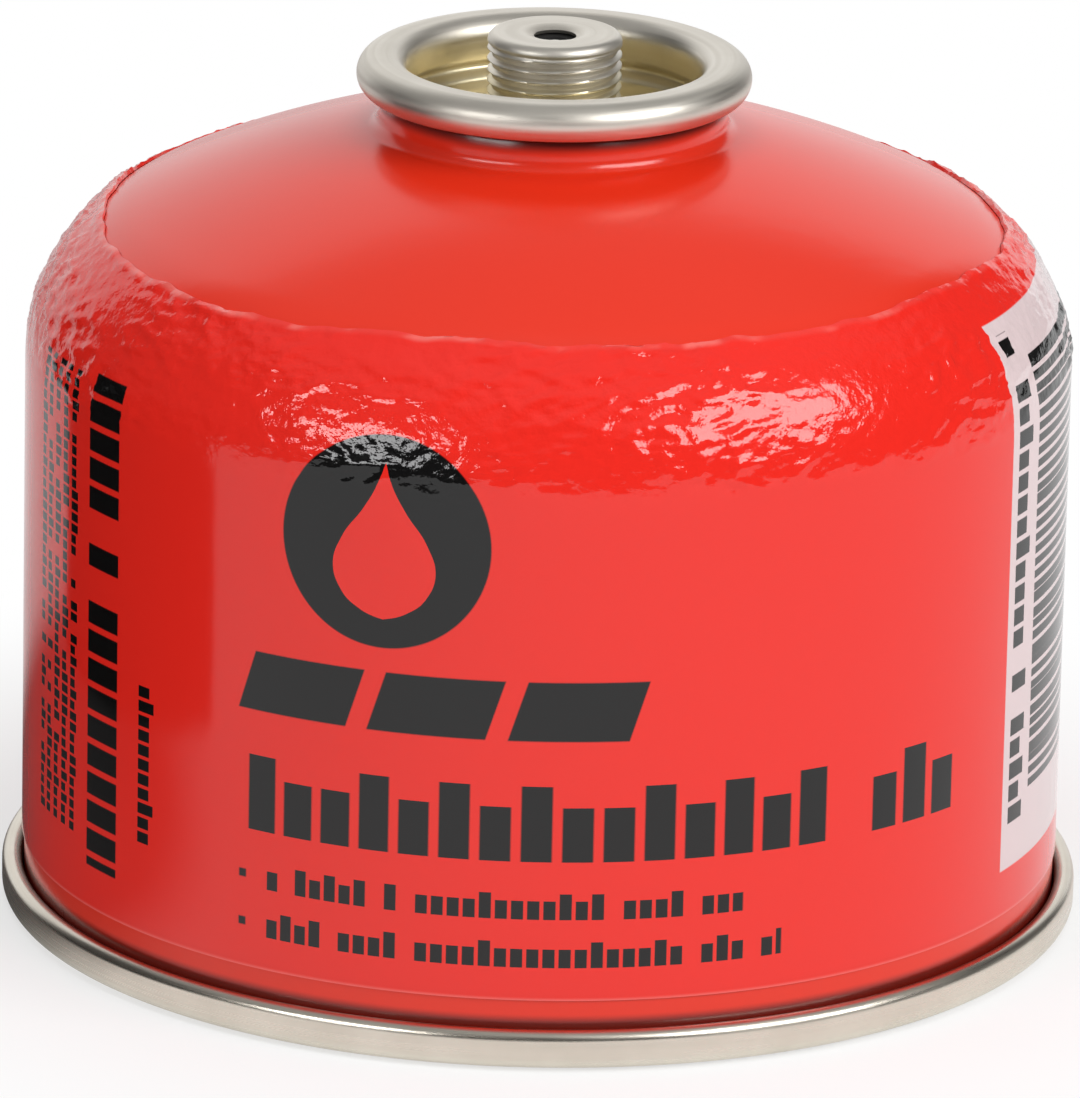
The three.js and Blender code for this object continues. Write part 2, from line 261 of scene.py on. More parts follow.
end_hook_face = BODY_RADIUS + SEAM_GAP
body_turn_inner = (END_GAUGE + 2 * SEAM_GAP) / 2
body_turn_outer = body_turn_inner + BODY_GAUGE
body_turn = (BODY_RADIUS + body_turn_inner, END_GAUGE + SEAM_GAP + body_turn_outer)
end_turn_outer = (BODY_GAUGE + 2 * SEAM_GAP) / 2 + END_GAUGE
end_turn = (end_hook_face + end_turn_outer, SEAM_HEIGHT - end_turn_outer)
seam_radius = end_turn[0] + end_turn_outer
chuck_face = BODY_RADIUS - BODY_GAUGE - SEAM_GAP - END_GAUGE

spring_low, spring_high = (corner.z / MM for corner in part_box("valve_spring"))


def on_can(length, proud):
    """A point on the can's side, at a length up along wall, shoulder and dome, and its outward way."""
    if length <= WALL_TOP:
        return (BODY_RADIUS + proud, length), (1.0, 0.0)
    turn = (length - WALL_TOP) / SHOULDER_RADIUS
    centre, reach = shoulder_centre, SHOULDER_RADIUS
    if turn > SHOULDER_ANGLE:
        turn = SHOULDER_ANGLE + (turn - SHOULDER_ANGLE) * SHOULDER_RADIUS / DOME_RADIUS
        centre, reach = dome_centre, DOME_RADIUS
    out = (math.cos(turn), math.sin(turn))
    return (centre[0] + (reach + proud) * out[0], centre[1] + (reach + proud) * out[1]), out


def panel_face():
    """Under side of the base end's domed panel, and its corner up to the chuck wall."""
    corner_r = chuck_face - PANEL_CORNER
    edge = math.acos(corner_r / (PANEL_RADIUS - PANEL_CORNER))
    centre_z = PANEL_DEPTH - (PANEL_RADIUS - PANEL_CORNER) * math.sin(edge)
    dome = arc((0, centre_z), PANEL_RADIUS, 90, math.degrees(edge), 40)
    dome[0] = (0.0, dome[0][1])
    return dome + arc((corner_r, PANEL_DEPTH), PANEL_CORNER, math.degrees(edge), 0, 10)


def can_section():
    """Steel can with its contents: underside, body hook, side, neck bead, and the room for the valve."""
    chuck_wall = [(chuck_face, body_turn[1])]
    under = offset_path(without_repeats(panel_face() + chuck_wall), END_GAUGE + SEAM_GAP)
    hook = (
        arc(body_turn, body_turn_outer, 180, 360, 12)
        + [(body_turn[0] + body_turn_outer, end_turn[1]), (body_turn[0] + body_turn_inner, end_turn[1])]
        + arc(body_turn, body_turn_inner, 0, -180, 10)
    )
    side = (
        arc(shoulder_centre, SHOULDER_RADIUS, 0, math.degrees(SHOULDER_ANGLE), 36)
        + arc(dome_centre, DOME_RADIUS, math.degrees(SHOULDER_ANGLE), dome_end, 30)
        + arc((fillet_r, neck_foot), NECK_FILLET, dome_end + 180, 180, 12)
        + [(NECK_RADIUS, neck_foot + NECK_TAPER_START)]
        + [(roll_inner[0] - NECK_BEAD_CORNER + BODY_GAUGE, bead_z - NECK_BEAD_CORNER)]
    )
    bead = arc(roll_outer, NECK_BEAD_CORNER, -90, 90, 12) + arc(roll_inner, NECK_BEAD_CORNER, 90, 180, 6)
    bore = NECK_RADIUS - BODY_GAUGE
    pocket_floor = well_floor - CUP_GAUGE - VALVE_POCKET_ROOM
    pocket = [
        (roll_inner[0] - NECK_BEAD_CORNER, bead_z - NECK_BEAD_CORNER),
        (bore, neck_foot + NECK_TAPER_START),
        (bore, pocket_floor),
        (VALVE_BORE, pocket_floor),
        (VALVE_BORE, VALVE_BORE_FLOOR),
        (0.0, VALVE_BORE_FLOOR),
    ]
    return under + hook + side + bead + pocket


def base_section():
    """Base end: domed panel, corner round the foot, and the hook that closes over the body hook."""
    face = (
        panel_face()
        + arc((chuck_face + SEAM_CORNER, SEAM_CORNER), SEAM_CORNER, 180, 270, 8)
        + arc((seam_radius - SEAM_CORNER, SEAM_CORNER), SEAM_CORNER, -90, 0, 8)
        + arc(end_turn, end_turn_outer, 0, 180, 14)
        + [(end_hook_face, body_turn[1])]
    )
    return sheet_section(face, END_GAUGE)


def cup_section():
    """Valve cup: rolled rim, crimp, well floor, turret with ring crimp and plain wall, and its hole."""
    crimp_out = CRIMP_RADIUS - WELL_RADIUS
    dimple_floor = turret_top - TURRET_DIMPLE_DEPTH
    well = arc(roll_outer, roll_corner, -60, 90, 24) + arc(roll_inner, roll_corner, 90, 180, 14)
    well += [(WELL_RADIUS + crimp_out * bulge(t), crimp_z - t * CRIMP_HALF) for t in np.linspace(-1, 1, 17)]
    well += arc((WELL_RADIUS - WELL_CORNER, well_floor + WELL_CORNER), WELL_CORNER, 0, -90, 8)
    well += arc((TURRET_RADIUS + TURRET_FOOT, well_floor + TURRET_FOOT), TURRET_FOOT, 270, 180, 8)
    ring = [(TURRET_RADIUS - RING_DEPTH * bulge(t), ring_z + t * RING_HALF) for t in np.linspace(-1, 1, 9)]
    rows = math.ceil((thread_top - ring_z - RING_HALF) / THREAD_STEP)
    wall = [(TURRET_RADIUS, z) for z in np.linspace(ring_z + RING_HALF, thread_top, rows + 1)]
    top = arc((TURRET_RADIUS - TURRET_LEAD, thread_top), TURRET_LEAD, 0, 90, 12) + [
        (TURRET_DIMPLE + DIMPLE_EDGE, turret_top),
        (TURRET_DIMPLE, turret_top - DIMPLE_EDGE_DROP),
        (TURRET_HOLE + HOLE_EDGE, dimple_floor + HOLE_EDGE_RISE),
        (TURRET_HOLE, dimple_floor - HOLE_EDGE_DROP),
    ]
    plain_wall = [(TURRET_RADIUS, ring_z - RING_HALF), (TURRET_RADIUS, thread_top)]
    inner_wall = TURRET_RADIUS - CUP_GAUGE
    back = [
        (min(r, inner_wall) if z > well_floor + WELL_CORNER and r < TURRET_RADIUS + HOLE_EDGE else r, z)
        for r, z in offset_path(without_repeats(well + plain_wall + top), CUP_GAUGE)
    ]
    return without_repeats(well + ring + wall + top) + back[::-1]


# Nodes and materials

MATH = "ShaderNodeMath"
VECTOR = "ShaderNodeVectorMath"
RANGE = "ShaderNodeMapRange"
SPLIT = "ShaderNodeSeparateXYZ"
JOIN = "ShaderNodeCombineXYZ"
COORDINATES = "ShaderNodeTexCoord"
NOISE = "ShaderNodeTexNoise"
DICE = "ShaderNodeTexWhiteNoise"
MIX = "ShaderNodeMix"
BUMP = "ShaderNodeBump"
SMOOTH = {"interpolation_type": "SMOOTHSTEP"}
COLOURS = {"data_type": "RGBA"}


def node(tree, kind, links=(), **settings):
    """Adds a node with its settings, and its inputs by place or name: values, sockets or whole nodes."""
    made = tree.nodes.new(kind)
    for key, value in settings.items():
        setattr(made, key, value)
    for key, value in links.items() if isinstance(links, dict) else enumerate(links):
        if isinstance(value, bpy.types.Node):
            value = next(socket for socket in value.outputs if socket.enabled)
        if isinstance(value, bpy.types.NodeSocket):
            tree.links.new(value, made.inputs[key])
        else:
            made.inputs[key].default_value = value
    return made


def linear(hexcode):
    """A colour written as sRGB hex, as the linear values that shaders take."""
    parts = [int(hexcode[i:i + 2], 16) / 255 for i in (0, 2, 4)]
    return tuple(c / 12.92 if c <= 0.04045 else ((c + 0.055) / 1.055) ** 2.4 for c in parts) + (1.0,)


def new_material(name, values):
    """A material with plain values on its shader's own sockets. Gives its tree and coordinates too."""
    material = bpy.data.materials.new(name)
    material.use_nodes = True
    tree = material.node_tree
    for key, value in values.items():
        tree.nodes["Principled BSDF"].inputs[key].default_value = value
    return material, tree, node(tree, COORDINATES).outputs["Object"]


def finish_material(tree, colour, others=None):
    """Links a colour, and others by the name of the input, to the material's shader."""
    for key, value in {"Base Color": colour, **(others or {})}.items():
        socket = next(socket for socket in value.outputs if socket.enabled)
        tree.links.new(socket, tree.nodes["Principled BSDF"].inputs[key])


def stoved_lacquer():
    """Alkyd lacquer, sprayed on drawn steel and stoved: an even gloss with a faint orange peel.

    Painted shade darkens its two crevices, under the rim and in the seam.
    """
    material, tree, place = new_material("alkyd_lacquer_stoved", {"Roughness": 0.2, "IOR": 1.5})
    height = node(tree, SPLIT, [place]).outputs["Z"]
    rim_unshaded, rim_dark = ((bead_z - drop) * MM for drop in RIM_SHADE)
    seam_dark, seam_unshaded = ((SEAM_HEIGHT + rise) * MM for rise in SEAM_SHADE)
    under_rim = node(tree, RANGE, [height, rim_unshaded, rim_dark, 0.0, 0.9], **SMOOTH)
    in_seam = node(tree, RANGE, [height, seam_dark, seam_unshaded, 0.85, 0.0], **SMOOTH)
    # painted shade: a dark tone in the crevices under the rim and above the seam
    painted_shade = node(tree, MATH, [under_rim, in_seam], operation="MAXIMUM")
    colour = node(tree, MIX, {"Factor": painted_shade, "A": linear("DF2F18"), "B": linear("3A0E0A")}, **COLOURS)
    peel = node(tree, NOISE, {"Vector": place, "Scale": PEEL / MM, "Detail": 2.0})
    bump = node(tree, BUMP, {"Height": peel, "Strength": 0.06, "Distance": PEEL_RELIEF * MM})
    finish_material(tree, colour, {"Normal": bump})
    return material


def tinplate(name, bright, clouded, roughness, varnish=None):
    """Tinplate, cold rolled and drawn: warm grey metal with fine rings from the press tools.

    A varnish colour, where given, covers the well of the valve cup.
    """
    material, tree, place = new_material(name, {"Metallic": 1.0, "Roughness": roughness})
    height = node(tree, SPLIT, [place]).outputs["Z"]
    flat = node(tree, VECTOR, [place, (1, 1, 0)], operation="MULTIPLY")
    radius = node(tree, VECTOR, [flat], operation="LENGTH").outputs["Value"]
    drawn_out = node(tree, MATH, [radius, DRAW_STRETCH], operation="MULTIPLY")
    drawn_up = node(tree, MATH, [height, DRAW_STRETCH], operation="MULTIPLY")
    drift = node(tree, VECTOR, [place, (0.35, 0.2, 0)], operation="DOT_PRODUCT").outputs["Value"]
    rings = node(tree, JOIN, [drawn_out, drawn_up, drift])
    ring_scale = DRAW_RINGS / (DRAW_STRETCH * MM)
    grain = node(tree, NOISE, {"Vector": rings, "Scale": ring_scale, "Detail": 3.0})
    cloud = node(tree, NOISE, {"Vector": place, "Scale": CLOUDS / MM, "Detail": 4.0})
    colour = node(tree, MIX, {"Factor": cloud, "A": linear(bright), "B": linear(clouded)}, **COLOURS)
    if varnish:
        in_well = node(tree, MATH, [radius, (CRIMP_RADIUS + VARNISH_MARGIN) * MM], operation="LESS_THAN")
        below_top = node(tree, MATH, [height, (turret_top - VARNISH_STOP) * MM], operation="LESS_THAN")
        inside = node(tree, MATH, [in_well, below_top], operation="MULTIPLY")
        full, none = ((rim_top - drop) * MM for drop in VARNISH_FADE)
        low_down = node(tree, RANGE, [height, full, none, 1.0, 0.0], **SMOOTH)
        coat = node(tree, MATH, [inside, low_down], operation="MULTIPLY")
        colour = node(tree, MIX, {"Factor": coat, "A": colour, "B": linear(varnish)}, **COLOURS)
    sheen = node(tree, RANGE, [grain, 0.3, 0.7, roughness - 0.06, roughness + 0.1])
    bump = node(tree, BUMP, {"Height": grain, "Strength": 0.12, "Distance": DRAW_RELIEF * MM})
    finish_material(tree, colour, {"Roughness": sheen, "Normal": bump})
    return material


def mottled(name, values, tones, patches):
    """A plain material whose colour drifts between two tones, in so many patches to the millimetre."""
    material, tree, place = new_material(name, values)
    drift = node(tree, NOISE, {"Vector": place, "Scale": patches / MM})
    one, other = (linear(tone) for tone in tones)
    finish_material(tree, node(tree, MIX, {"Factor": drift, "A": one, "B": other}, **COLOURS))
    return material


def moulded_rubber():
    """Nitrile rubber, moulded: black and dull, with a faint bloom."""
    return mottled("nitrile_rubber_moulded", {"Roughness": 0.75, "IOR": 1.52}, ("121212", "1F1E1D"), BLOOM)


def moulded_acetal():
    """Acetal, injection moulded: off-white and slightly waxy, with faint flow marks."""
    return mottled("acetal_moulded", {"Roughness": 0.42, "IOR": 1.48}, ("E4E1D8", "ECEAE3"), FLOW)


def drawn_wire():
    """Spring steel, drawn into wire: bright, with faint draw marks."""
    finish = {"Metallic": 1.0, "Roughness": 0.3}
    return mottled("spring_steel_drawn", finish, ("B4B6B9", "C8C9CB"), DRAW_MARKS)


# Print on the film, placed in millimetres round it from the front and up from the table

HEADINGS = ((-25.0, 25.0, 3), (28.8, 38.7, 9))  # from, to, seed
HEADING_UP = (17.2, 23.6)
HEADING_PITCH = 3.33
LINES = ((-23.0, 17.0, 12.3, 11), (-23.0, 20.5, 8.2, 29))  # from, to, foot, seed
LINE_HEIGHT = 2.2
LINE_PITCH = 1.3
SMALL_SQUARE = (-25.6, 0.7)  # left side, breadth
STROKE = (0.08, 0.84)  # its sides, as shares of the pitch
SHORT_STROKE = 0.72  # its height, as a share of the line's
SHORT_SHARE = 0.62  # of all strokes
BOLD_COLUMN = (-44.4, -39.9, 9.0, 51.0)  # left, right, foot, top
BOLD_ROWS = (2.45, 0.5, 5, 0.05)  # pitch, gap, seed, share left out
SHORT_COLUMN = ((13.0, 26.8), (-37.0, -35.1), 1.25, 41)  # up, across, pitch, seed
THIN_COLUMNS = (-54.4, -52.7, -51.0, -49.3, -47.6)  # left sides
THIN_COLUMN = ((11.0, 50.5), 1.2, 0.95)  # up, breadth, pitch
PANEL = (46.2, 76.0, 9.3, 56.2)
PANEL_TEXT = (51.4, 73.0, 14.5, 53.0)
PANEL_ROWS = ((1.06, 0.36, 7, 0.1), (1.69, 1.1, 19, 0.3))
PANEL_COLUMN = ((13.0, 55.0), (47.3, 50.0), 1.9, 13)
DISC = (-13.0, 43.2, 8.8)  # place and radius
FLAME = (-6.4, 6.6, 9.0)  # foot, tip, breadth for a share of 1
FLAME_HALF = ((0, 0), (0.06, 0.24), (0.16, 0.4), (0.32, 0.48), (0.5, 0.4), (0.7, 0.2), (0.86, 0.07), (1, 0))
BARS = (-34.6, -23.0, -11.4)
BAR_BREADTH = 9.8
BAR_UP = (27.4, 32.4)
BAR_SLANT = -0.32
INK_EDGE = 0.08  # softness of a printed edge
STROKE_EDGE = 0.03  # the same, as a share of the pitch


def between(tree, value, low, high, soft=INK_EDGE):
    """1 where a value lies between two limits, with a soft edge as ink has."""
    rise = node(tree, RANGE, [value, low - soft, low + soft], **SMOOTH)
    fall = node(tree, RANGE, [value, high - soft, high + soft, 1.0, 0.0], **SMOOTH)
    return node(tree, MATH, [rise, fall], operation="MULTIPLY")


def field(tree, place, left, right, low, high):
    """A printed rectangle."""
    sides = [between(tree, place["X"], left, right), between(tree, place["Y"], low, high)]
    return node(tree, MATH, sides, operation="MULTIPLY")


def stripes(tree, value, pitch, gap, seed, missing):
    """Bars of one pitch along a direction, some left out."""
    steps = node(tree, MATH, [value, pitch], operation="DIVIDE")
    step = node(tree, MATH, [steps], operation="FLOOR")
    bar = between(tree, node(tree, MATH, [steps], operation="FRACT"), gap / pitch, 0.98, STROKE_EDGE)
    dice = node(tree, DICE, {"W": node(tree, MATH, [step, seed], operation="ADD")}, noise_dimensions="1D")
    there = node(tree, MATH, [dice.outputs["Value"], missing], operation="GREATER_THAN")
    return node(tree, MATH, [bar, there], operation="MULTIPLY")


def strokes(tree, along, out, run, rows, pitch, seed, space=0.14):
    """A line of print seen from afar: upright strokes of two heights, with gaps as between words."""
    from_start = node(tree, MATH, [along, run[0]], operation="SUBTRACT")
    steps = node(tree, MATH, [from_start, pitch], operation="DIVIDE")
    step = node(tree, MATH, [steps], operation="FLOOR")
    dice = node(tree, DICE, {"W": node(tree, MATH, [step, seed], operation="ADD")}, noise_dimensions="1D")
    dice = dice.outputs["Value"]
    rise = rows[1] - rows[0]
    added = (1 - SHORT_STROKE) * rise
    is_tall = node(tree, MATH, [dice, SHORT_SHARE], operation="GREATER_THAN")
    tall = node(tree, MATH, [is_tall, added, rows[1] - added], operation="MULTIPLY_ADD")
    parts = [
        between(tree, node(tree, MATH, [steps], operation="FRACT"), *STROKE, STROKE_EDGE),
        between(tree, along, *run),
        node(tree, MATH, [out, rows[0]], operation="GREATER_THAN"),
        node(tree, MATH, [out, tall], operation="LESS_THAN"),
        node(tree, MATH, [dice, space], operation="GREATER_THAN"),
    ]
    return combined(tree, parts, "MULTIPLY")


def combined(tree, masks, operation):
    """Masks taken together: MAXIMUM for any of them, MULTIPLY for where all meet."""
    total = masks[0]
    for mask in masks[1:]:
        total = node(tree, MATH, [total, mask], operation=operation)
    return total


def front_print(tree, place):
    """Heading, two thin lines with a small square before each, and the upright columns at the left."""
    across, up = place["X"], place["Y"]
    marks = [strokes(tree, across, up, (start, end), HEADING_UP, HEADING_PITCH, seed, 0.0)
             for start, end, seed in HEADINGS]
    left, breadth = SMALL_SQUARE
    for start, end, foot, seed in LINES:
        marks.append(strokes(tree, across, up, (start, end), (foot, foot + LINE_HEIGHT), LINE_PITCH, seed))
        marks.append(field(tree, place, left, left + breadth, foot + breadth, foot + 2 * breadth))
    bold = [field(tree, place, *BOLD_COLUMN), stripes(tree, up, *BOLD_ROWS)]
    marks.append(combined(tree, bold, "MULTIPLY"))
    marks.append(strokes(tree, up, across, *SHORT_COLUMN))
    run, breadth, pitch = THIN_COLUMN
    for count, left in enumerate(THIN_COLUMNS):
        seed = 50 + 37 * count
        marks.append(strokes(tree, up, across, run, (left, left + breadth), pitch, seed, 0.1))
    return marks


def panel_print(tree, place):
    """Rows and a line of small print on the pale panel."""
    marks = [strokes(tree, place["Y"], place["X"], *PANEL_COLUMN)]
    for rows in PANEL_ROWS:
        masks = [field(tree, place, *PANEL_TEXT), stripes(tree, place["Y"], *rows)]
        marks.append(combined(tree, masks, "MULTIPLY"))
    return marks


def emblem(tree, place):
    """A disc with a flame left out of it, and three slanted bars below."""
    dx = node(tree, MATH, [place["X"], DISC[0]], operation="SUBTRACT")
    dy = node(tree, MATH, [place["Y"], DISC[1]], operation="SUBTRACT")
    distance = node(tree, VECTOR, [node(tree, JOIN, [dx, dy, 0.0])], operation="LENGTH").outputs["Value"]
    half = node(tree, "ShaderNodeFloatCurve", {"Value": node(tree, RANGE, [dy, FLAME[0], FLAME[1]])})
    curve = half.mapping.curves[0]
    while len(curve.points) < len(FLAME_HALF):
        curve.points.new(0.5, 0.5)
    for point, spot in zip(curve.points, FLAME_HALF):
        point.location = spot
    half.mapping.update()
    breadth = node(tree, MATH, [half, FLAME[2]], operation="MULTIPLY")
    beside = node(tree, MATH, [dx], operation="ABSOLUTE")
    outside = node(tree, MATH, [beside, breadth], operation="GREATER_THAN")
    marks = [combined(tree, [between(tree, distance, -1.0, DISC[2]), outside], "MULTIPLY")]
    slanted = node(tree, MATH, [place["Y"], BAR_SLANT, place["X"]], operation="MULTIPLY_ADD")
    for left in BARS:
        bar = [between(tree, slanted, left, left + BAR_BREADTH), between(tree, place["Y"], *BAR_UP)]
        marks.append(combined(tree, bar, "MULTIPLY"))
    return marks


def cut_edges(tree, place, coords):
    """Where light catches the film's cut edges: broken along the curled upper one, even at the foot."""
    upper = node(tree, RANGE, [place["Z"], *UPPER_CUT, 0.6, 0.0], **SMOOTH)
    broken = node(tree, NOISE, {"Vector": coords, "Scale": GLINTS / MM})
    glint = node(tree, RANGE, [broken, 0.42, 0.6, 0.15, 1.0], **SMOOTH)
    upper = node(tree, MATH, [upper, glint], operation="MULTIPLY")
    lower = node(tree, RANGE, [place["Y"], FILM_FOOT, FILM_FOOT + LOWER_CUT, 0.45, 0.0], **SMOOTH)
    return node(tree, MATH, [upper, lower], operation="MAXIMUM")


def film_colour(tree, place, coords):
    """Red and black ink, the pale panel, and the light on the cut edges."""
    panel = field(tree, place, *PANEL)
    ground = node(tree, MIX, {"Factor": panel, "A": linear("E2271D"), "B": linear("D6C2C3")}, **COLOURS)
    on_panel = combined(tree, [combined(tree, panel_print(tree, place), "MAXIMUM"), panel], "MULTIPLY")
    ink = combined(tree, front_print(tree, place) + emblem(tree, place) + [on_panel], "MAXIMUM")
    inked = node(tree, MIX, {"Factor": ink, "A": ground, "B": linear("0C0B0B")}, **COLOURS)
    edges = cut_edges(tree, place, coords)
    return node(tree, MIX, {"Factor": edges, "A": inked, "B": linear("F08078")}, **COLOURS)


def film_relief(tree, place, coords):
    """Slow ripples all over, and over the shoulder puckers too fine for the mesh."""
    shrunk = node(tree, RANGE, [place["Y"], WALL_TOP, WALL_TOP + PUCKER_START, 0.0, 0.5], **SMOOTH)
    pucker = node(tree, NOISE, {"Vector": coords, "Scale": PUCKERS / MM, "Detail": 3.0})
    ripple = node(tree, NOISE, {"Vector": coords, "Scale": RIPPLES / MM, "Detail": 1.0})
    pucker = node(tree, MATH, [pucker, shrunk], operation="MULTIPLY")
    relief = node(tree, MATH, [ripple, 0.15, pucker], operation="MULTIPLY_ADD")
    return node(tree, BUMP, {"Height": relief, "Strength": 0.45, "Distance": FILM_RELIEF * MM})


def printed_film():
    """Shrink film, printed on its inner face: inks under a clear gloss that puckers where it shrank."""
    material, tree, coords = new_material("shrink_film_printed", {"Roughness": 0.1, "IOR": 1.5})
    attribute = node(tree, "ShaderNodeAttribute", attribute_name="film_place")
    place = node(tree, SPLIT, [attribute.outputs["Vector"]]).outputs
    finish_material(tree, film_colour(tree, place, coords), {"Normal": film_relief(tree, place, coords)})
    return material


lacquer = stoved_lacquer()
film_print = printed_film()
# The cup's well keeps the straw colour of the can maker's varnish, and the seam is pressed brighter
stamped_plate = tinplate("tinplate_stamped", "EBE6DC", "D9D3C8", 0.42, varnish="E5DABA")
seamed_plate = tinplate("tinplate_seamed", "E6DFD2", "CFC7B9", 0.28)
rubber = moulded_rubber()
acetal = moulded_acetal()
spring_steel = drawn_wire()


# Shapes grown by node trees

LENGTH = "NodeSocketFloat"
COUNT = "NodeSocketInt"


def new_tree(name, sizes):
    """A tree that takes a mesh, sizes by name and a material. Gives the sockets of those inputs too."""
    tree = bpy.data.node_groups.new(name, "GeometryNodeTree")
    given = {"Mesh": "NodeSocketGeometry", **sizes, "Material": "NodeSocketMaterial"}
    for socket, kind in given.items():
        tree.interface.new_socket(socket, in_out="INPUT", socket_type=kind)
    tree.interface.new_socket("Result", in_out="OUTPUT", socket_type="NodeSocketGeometry")
    return tree, node(tree, "NodeGroupInput").outputs


def finish_tree(tree, given, shape):
    """Makes instances real and gives the shape its material."""
    real = node(tree, "GeometryNodeRealizeInstances", [shape])
    faced = node(tree, "GeometryNodeSetMaterial", {"Geometry": real, "Material": given["Material"]})
    node(tree, "NodeGroupOutput", [faced])
    return tree


def turning_tree():
    """Turns a section about Z: a grid with its corners one way and the facets the other.

    A section from axis to axis has as many rows as corners, and a closed ring has one more.
    """
    tree, given = new_tree("turning", {"Corners": COUNT, "Rows": COUNT, "Facets": COUNT})
    columns = node(tree, MATH, [given["Facets"], 1.0], operation="ADD")
    grid = node(tree, "GeometryNodeMeshGrid", {"Vertices X": given["Rows"], "Vertices Y": columns})
    index = node(tree, "GeometryNodeInputIndex")
    row = node(tree, "FunctionNodeIntegerMath", [index, columns], operation="DIVIDE_FLOOR")
    corner = node(tree, "FunctionNodeIntegerMath", [row, given["Corners"]], operation="MODULO")
    facet = node(tree, "FunctionNodeIntegerMath", [index, columns], operation="MODULO")
    spot = node(tree, "GeometryNodeSampleIndex", data_type="FLOAT_VECTOR",
                links={"Geometry": given["Mesh"], "Value": node(tree, "GeometryNodeInputPosition"),
                       "Index": corner})
    radius, _, height = node(tree, SPLIT, [spot]).outputs
    share = node(tree, MATH, [facet, given["Facets"]], operation="DIVIDE")
    angle = node(tree, MATH, [share, math.tau], operation="MULTIPLY")
    x = node(tree, MATH, [radius, node(tree, MATH, [angle], operation="COSINE")], operation="MULTIPLY")
    y = node(tree, MATH, [radius, node(tree, MATH, [angle], operation="SINE")], operation="MULTIPLY")
    moved = node(tree, "GeometryNodeSetPosition",
                 {"Geometry": grid.outputs["Mesh"], "Position": node(tree, JOIN, [x, y, height])})
    closed = node(tree, "GeometryNodeMergeByDistance", {"Geometry": moved, "Distance": JOINED})
    return finish_tree(tree, given, closed)


def threading_tree():
    """Cuts a rolled right-handed thread into a wall of one radius, fading out at its foot and top."""
    sizes = ("Radius", "Pitch", "Depth", "Foot", "Full from", "Full to", "Top")
    tree, given = new_tree("threading", {size: LENGTH for size in sizes})
    place = node(tree, "GeometryNodeInputPosition").outputs["Position"]
    x, y, height = node(tree, SPLIT, [place]).outputs
    flat = node(tree, VECTOR, [place, (1, 1, 0)], operation="MULTIPLY")
    radius = node(tree, VECTOR, [flat], operation="LENGTH").outputs["Value"]
    on_wall = node(tree, MATH, [radius, given["Radius"], JOINED], operation="COMPARE")
    around = node(tree, MATH, [y, x], operation="ARCTAN2")
    climb = node(tree, MATH, [height, given["Pitch"]], operation="DIVIDE")
    phase = node(tree, MATH, [climb, math.tau, node(tree, MATH, [around, -1.0], operation="MULTIPLY")],
                 operation="MULTIPLY_ADD")
    wave = node(tree, MATH, [phase], operation="COSINE")
    groove = node(tree, MATH, [wave, -0.5, 0.5], operation="MULTIPLY_ADD")
    profile = node(tree, MATH, [groove, THREAD_FULLNESS], operation="POWER")
    rise = node(tree, RANGE, [height, given["Foot"], given["Full from"]], **SMOOTH)
    fall = node(tree, RANGE, [height, given["Full to"], given["Top"], 1.0, 0.0], **SMOOTH)
    depth = combined(tree, [profile, rise, fall, given["Depth"]], "MULTIPLY")
    inward = node(tree, MATH, [depth, -1.0], operation="MULTIPLY")
    cut = node(tree, VECTOR, {0: node(tree, VECTOR, [flat], operation="NORMALIZE"), "Scale": inward},
               operation="SCALE")
    threaded = node(tree, "GeometryNodeSetPosition",
                    {"Geometry": given["Mesh"], "Selection": on_wall, "Offset": cut})
    return finish_tree(tree, given, threaded)


def coiling_tree():
    """Winds round wire into a compression spring, whose end turns lie flatter than its middle."""
    tree, given = new_tree("coiling", {
        "Wire radius": LENGTH, "Coil radius": LENGTH, "Turns": LENGTH, "Foot": LENGTH, "Head": LENGTH,
        "Flatness": LENGTH, "Steps": COUNT, "Sides": COUNT,
    })
    rise = node(tree, MATH, [given["Head"], given["Foot"]], operation="SUBTRACT")
    helix = node(tree, "GeometryNodeCurveSpiral", {
        "Resolution": given["Steps"], "Rotations": given["Turns"], "Start Radius": given["Coil radius"],
        "End Radius": given["Coil radius"], "Height": rise,
    })
    share = node(tree, "GeometryNodeSplineParameter").outputs["Factor"]
    eased = node(tree, RANGE, [share], **SMOOTH)
    ahead = node(tree, MATH, [eased, share], operation="SUBTRACT")
    moved = combined(tree, [ahead, rise, given["Flatness"]], "MULTIPLY")
    lift = node(tree, JOIN, {"Z": node(tree, MATH, [moved, given["Foot"]], operation="ADD")})
    placed = node(tree, "GeometryNodeSetPosition", {"Geometry": helix, "Offset": lift})
    ring = node(tree, "GeometryNodeCurvePrimitiveCircle",
                {"Resolution": given["Sides"], "Radius": given["Wire radius"]})
    wire = node(tree, "GeometryNodeCurveToMesh", {"Curve": placed, "Profile Curve": ring.outputs["Curve"],
                                                 "Fill Caps": True})
    return finish_tree(tree, given, wire)


def placed_object(name, mesh):
    """An object at the origin, unturned and unscaled."""
    piece = bpy.data.objects.new(name, mesh)
    bpy.context.scene.collection.objects.link(piece)
    return piece


def shaded(mesh, sharp_degrees=40):
    """Smooth shading, with sharp edges where faces meet at more than an angle."""
    mesh.polygons.foreach_set("use_smooth", [True] * len(mesh.polygons))
    mesh.set_sharp_from_angle(angle=math.radians(sharp_degrees))
    mesh.update()


